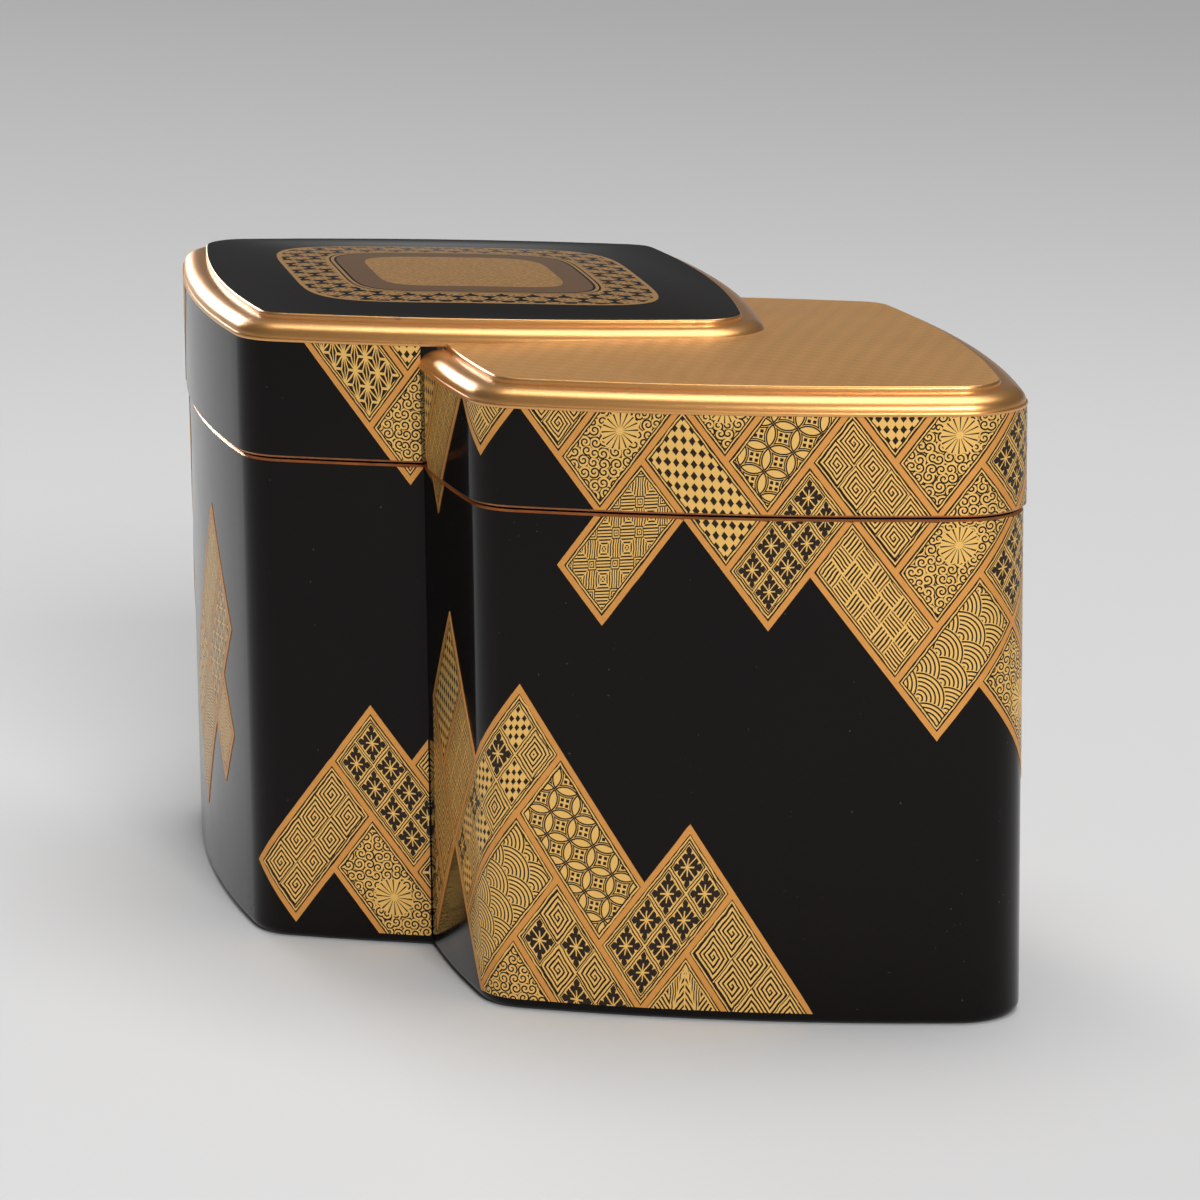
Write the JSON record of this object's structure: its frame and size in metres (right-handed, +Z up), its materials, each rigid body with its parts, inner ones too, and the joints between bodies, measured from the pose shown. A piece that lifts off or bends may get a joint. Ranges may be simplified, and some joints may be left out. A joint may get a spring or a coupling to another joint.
{
  "type": "lidded lacquer box",
  "caption": "Small lidded box in the form of overlapping lozenges of different height, black and gold lacquer with a fully lifting lid.",
  "frame": {"origin": "middle of the footprint, on the surface the box stands on", "axes": "+Z up, -Y towards the front of the lower lozenge, +X towards the lower lozenge's side"},
  "size_m": [0.1122, 0.0894, 0.0762],
  "materials": {
    "black_lacquer": "polished black lacquer on thin wood",
    "gold_lacquer": "gold powder sprinkled into lacquer, burnished"
  },
  "bodies": {
    "root": {"body": "black_lacquer", "lid": "gold_lacquer"}
  },
  "joints": []
}
